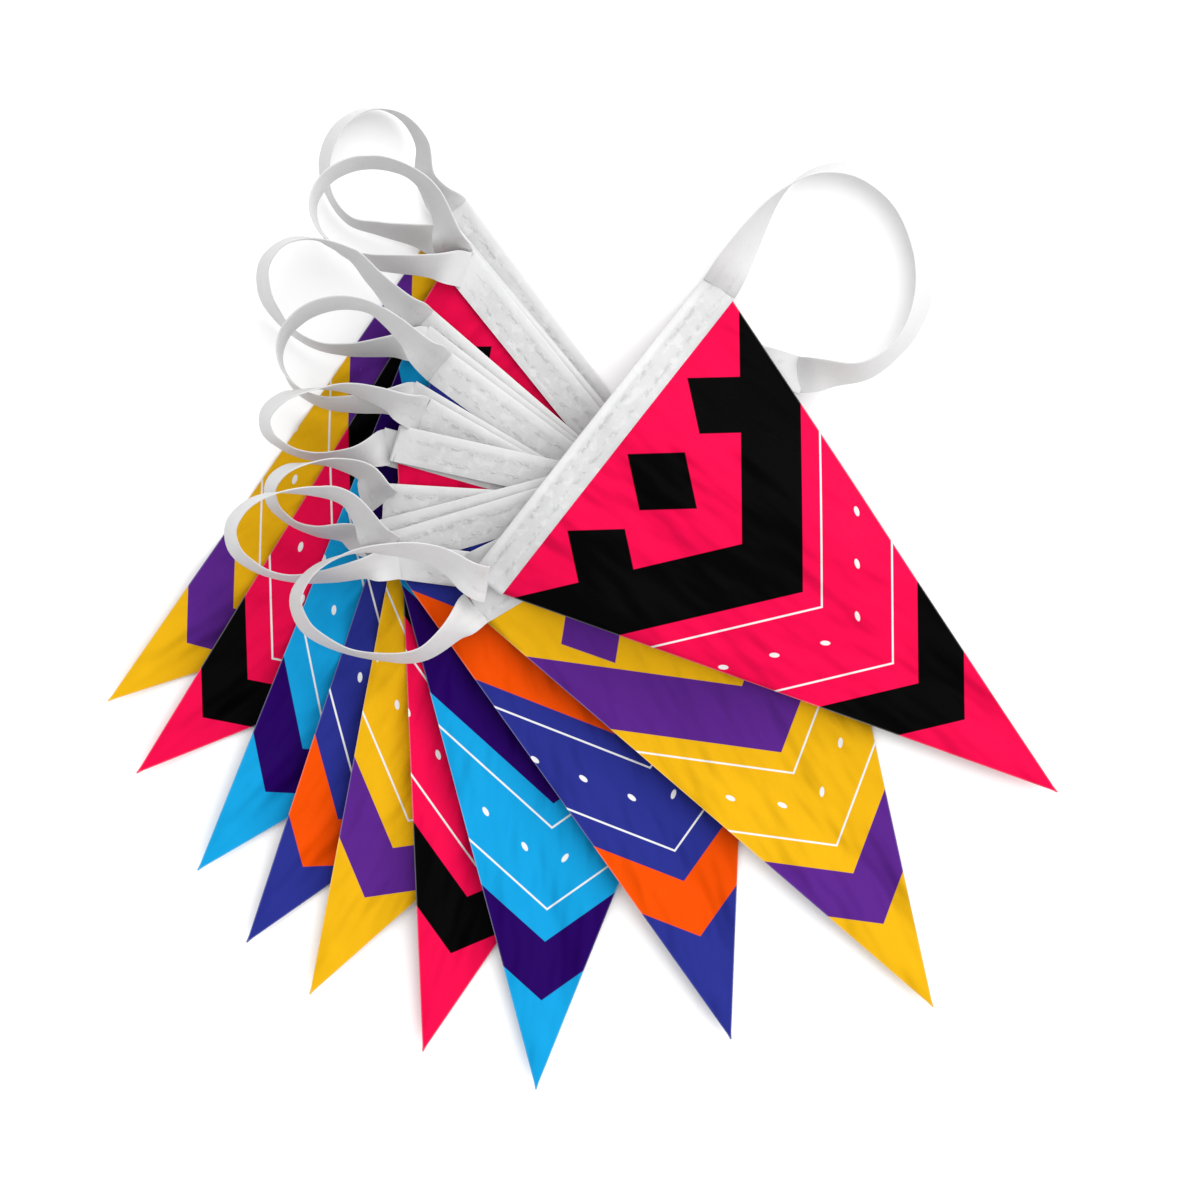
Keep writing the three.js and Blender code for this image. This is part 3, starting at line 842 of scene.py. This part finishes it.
def print_material(k):
    """Printed polyester: two colours and thin white lines in the cloth's own plane."""
    main, second = srgb(FAN[k][5]), srgb(FAN[k][6])
    n = Nodes("print_%02d" % (k + 1))
    v, u = n.uv()
    slant = n.math("ADD", u, n.math("MULTIPLY", n.math("ABSOLUTE", v), ARROW))
    shift = (k * 37) % 60 - 30  # from -30 to 29, another on each pennant

    masks = [n.between(slant, low + shift * part, high + shift * part) for low, high, part in STRIPES]
    # Three lozenges below the top edge
    cell = n.math("PINGPONG", n.math("ADD", v, 6 * LOZENGE_SPACING), LOZENGE_SPACING / 2)
    wide = n.math("DIVIDE", cell, LOZENGE_WIDTH / 2)
    high = n.math("DIVIDE", n.math("ABSOLUTE", n.math("SUBTRACT", u, LOZENGE_ROW)), LOZENGE_LENGTH / 2)
    lozenge = n.between(n.math("ADD", wide, high), -1.0, 1.0, soft=0.03)
    masks.append(n.math("MULTIPLY", lozenge, n.between(v, -LOZENGE_REACH, LOZENGE_REACH)))
    mask = n.any_of(masks)

    lines = [
        n.between(slant, low + shift * part, high + shift * part, soft=0.3) for low, high, part in LINES
    ]
    # Small dots between the two lines
    dot_v = n.math("PINGPONG", n.math("ADD", v, DOT_START), DOT_SPACING / 2)
    dot_u = n.math("ABSOLUTE", n.math("SUBTRACT", slant, DOT_ROW + shift * DOT_SHIFT))
    away = n.math("SQRT", n.math("ADD", n.math("POWER", dot_v, 2.0), n.math("POWER", dot_u, 2.0)))
    lines.append(n.between(away, -DOT_RADIUS, DOT_RADIUS, soft=0.3))
    white = n.any_of(lines)

    colour = n.mix(mask, main, second)
    colour = n.mix(white, colour, WHITE)
    here = n.vector(v, u)
    wear = n.noise(here, scale=0.03, detail=3.0)
    colour = n.mix(n.math("MULTIPLY", wear, 0.16), colour, n.mix(0.5, colour, srgb(BLACK)))
    # A pale line along the cut edge, a painted highlight where the edge catches the light
    edge = n.math("ADD", n.math("ABSOLUTE", v), n.math("DIVIDE", u, PENNANT_LENGTH / half))
    edge_highlight = n.math("MULTIPLY", n.between(edge, *EDGE_HIGHLIGHT_BAND, soft=0.6), 0.3)
    colour = n.mix(edge_highlight, colour, n.mix(0.55, colour, WHITE))
    n.put(n.shader.inputs["Base Color"], colour)
    n.shader.inputs["Roughness"].default_value = 0.6
    n.shader.inputs["Specular IOR Level"].default_value = 0.03
    long = n.vector(n.math("MULTIPLY", v, 3.0), u)
    folds = n.bump(n.noise(long, scale=0.012, detail=2.0), strength=1.0, distance=0.017)
    crease = n.noise(here, scale=0.06, detail=3.0, roughness=0.45)
    creases = n.bump(crease, strength=0.16, distance=0.002, normal=folds)
    weave = n.bump(n.weave(v, u, pitch=0.8), strength=0.25, distance=0.0001, normal=creases)
    n.put(n.shader.inputs["Normal"], weave)
    return n.material


# Tones of the tape, the darkest and the palest of its mottle where there are two: painted shade darkens the
# flat heads, painted light pales the standing loops, the fold and raised tones are painted highlights and
# the seam and dent tones painted shade
HEAD_SHADE_TONES = (210, 210, 211), (235, 235, 235)
LOOSE_LIT_TONES = (233, 233, 234), (243, 243, 243)
FOLD_HIGHLIGHT_TONE = (247, 247, 247)
SEAM_SHADE_TONE = (208, 208, 210)
DENT_SHADE_TONE = (178, 179, 181)
RAISED_HIGHLIGHT_TONE = (248, 248, 248)

# Bands of the tape, for its painted highlight along the fold, its painted shade towards the seam and its
# dents: from and to in millimetres from its fold, and their soft edge
FOLD_HIGHLIGHT_BAND = (-5.0, 5.0, 2.0)
SEAM_SHADE_BAND = (16.5, 24.0, 2.5)
DENT_ROWS = (4.4, 8.6, 2.4), (12.4, 16.6, 2.4)


def tape_material():
    """White woven tape, with small puckers along the seam of each head, and painted light and shade in its
    colour.
    """
    n = Nodes("white_tape")
    along, across = n.uv()
    # 1 on the heads and the flat tape, which take the darker tones as painted shade, 0 on the standing
    # loops, which take the paler ones as painted light
    seam_and_shade = n.add("ShaderNodeAttribute", attribute_name="seam_and_shade").outputs["Fac"]
    here = n.vector(along, across)
    mottle = n.noise(here, scale=0.09, detail=4.0, roughness=0.6)
    shaded_head = n.mix(mottle, *map(srgb, HEAD_SHADE_TONES))
    lit_loose = n.mix(mottle, *map(srgb, LOOSE_LIT_TONES))
    base = n.mix(seam_and_shade, lit_loose, shaded_head)
    # Painted highlight along the fold, and painted shade towards the seam at the cloth's edge
    fold = n.math("MULTIPLY", n.between(across, *FOLD_HIGHLIGHT_BAND), seam_and_shade)
    base = n.mix(n.math("MULTIPLY", fold, 0.6), base, srgb(FOLD_HIGHLIGHT_TONE))
    seam_shade = n.math("MULTIPLY", n.between(across, *SEAM_SHADE_BAND), seam_and_shade)
    base = n.mix(n.math("MULTIPLY", seam_shade, 0.4), base, srgb(SEAM_SHADE_TONE))
    # Two rows of small grey dents, where the stitches draw the tape in, their grey a painted shade
    stretched = n.vector(n.math("MULTIPLY", along, 0.6), across)
    spots = n.noise(stretched, scale=0.36, detail=3.0, roughness=0.65)
    rows = n.any_of([n.between(across, *row) for row in DENT_ROWS])
    dent_and_shade = n.math("MULTIPLY", n.between(spots, 0.5, 1.2, 0.1), n.math("MULTIPLY", rows, seam_and_shade))
    colour = n.mix(n.math("MULTIPLY", dent_and_shade, 0.5), base, srgb(DENT_SHADE_TONE))
    # and pale blotches between them, a painted highlight where it stands up
    highlight_blotches = n.between(n.noise(here, scale=0.16, detail=2.0), 0.54, 1.2, soft=0.08)
    raised_highlight = n.math("MULTIPLY", highlight_blotches, seam_and_shade)
    colour = n.mix(n.math("MULTIPLY", raised_highlight, 0.35), colour, srgb(RAISED_HIGHLIGHT_TONE))
    n.put(n.shader.inputs["Base Color"], colour)
    n.shader.inputs["Roughness"].default_value = 0.6
    n.shader.inputs["Specular IOR Level"].default_value = 0.3
    n.shader.inputs["Sheen Weight"].default_value = 0.1
    soft = n.bump(n.noise(here, scale=0.12, detail=3.0), strength=0.3, distance=0.0012)
    dents = n.bump(n.math("MULTIPLY", dent_and_shade, -1.0), strength=0.6, distance=0.0006, normal=soft)
    weave = n.bump(n.weave(along, across, pitch=0.7), strength=0.3, distance=0.0001, normal=dents)
    n.put(n.shader.inputs["Normal"], weave)
    return n.material


tape_obj = mesh_object("tape_cloth", tape.points, tape.faces, tape_material(), tape.uvs)
tape_obj.data.attributes.new("seam_and_shade", "FLOAT", "POINT").data.foreach_set("value", np.array(tape.seam_and_shade, float))
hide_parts("tape")
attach(tape_obj, "root")

for k, points, faces, uvs in cloths:
    name = "cloth_%02d" % (k + 1)
    obj = mesh_object(name, points, faces, print_material(k), uvs)
    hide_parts("pennant_%02d" % (k + 1))
    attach(obj, "root")


# Floor, light and camera

FLOOR_REACH = 3000
FLOOR_LEVEL = -0.3
FLOOR_TONES = (0.95, 0.95, 0.95, 1), (0.97, 0.97, 0.97, 1)


def floor_material():
    n = Nodes("pale_floor")
    where = n.add("ShaderNodeTexCoord").outputs["Object"]
    n.put(n.shader.inputs["Base Color"], n.mix(n.noise(where, scale=3.0), *FLOOR_TONES))
    n.shader.inputs["Roughness"].default_value = 0.9
    n.shader.inputs["Specular IOR Level"].default_value = 0.1
    return n.material


corners = [(-1, -1), (1, -1), (1, 1), (-1, 1)]
floor = mesh_object(
    "floor",
    [(x * FLOOR_REACH, y * FLOOR_REACH, FLOOR_LEVEL) for x, y in corners],
    [(0, 1, 2, 3)],
    floor_material(),
    smooth=False,
)


def sun(name, towards, angle, strength):
    """A soft light from far off: where it stands, its width in degrees and its strength."""
    data = bpy.data.lights.new(name, "SUN")
    data.angle = math.radians(angle)
    data.energy = strength
    light = bpy.data.objects.new(name, data)
    light.location = towards
    light.rotation_euler = Vector(towards).to_track_quat("Z", "Y").to_euler()
    bpy.context.scene.collection.objects.link(light)


sun("key", (0.6, 0.5, 0.8), 75, 2.3)

world = bpy.data.worlds.new("studio")
bpy.context.scene.world = world
world.use_nodes = True
world.node_tree.nodes["Background"].inputs["Color"].default_value = (1, 1, 1, 1)
world.node_tree.nodes["Background"].inputs["Strength"].default_value = 1.0

bpy.context.scene.view_settings.view_transform = "Standard"

# The camera looks straight down from far up, so the risen parts of the fan hardly grow
PHOTO_WIDTH = 1200
PIXELS_PER_MM = 1.86
FRAME_WIDTH = PHOTO_WIDTH / PIXELS_PER_MM * MM
HEIGHT = 8.0
SENSOR = 36
camera = bpy.data.cameras.new("camera")
camera.sensor_width = SENSOR
camera.lens = SENSOR * HEIGHT / FRAME_WIDTH
camera.clip_end = 50
camera_obj = bpy.data.objects.new("camera", camera)
middle_x, middle_y = -CENTRE * MM
camera_obj.location = (middle_x, middle_y, HEIGHT)
bpy.context.scene.collection.objects.link(camera_obj)
bpy.context.scene.camera = camera_obj
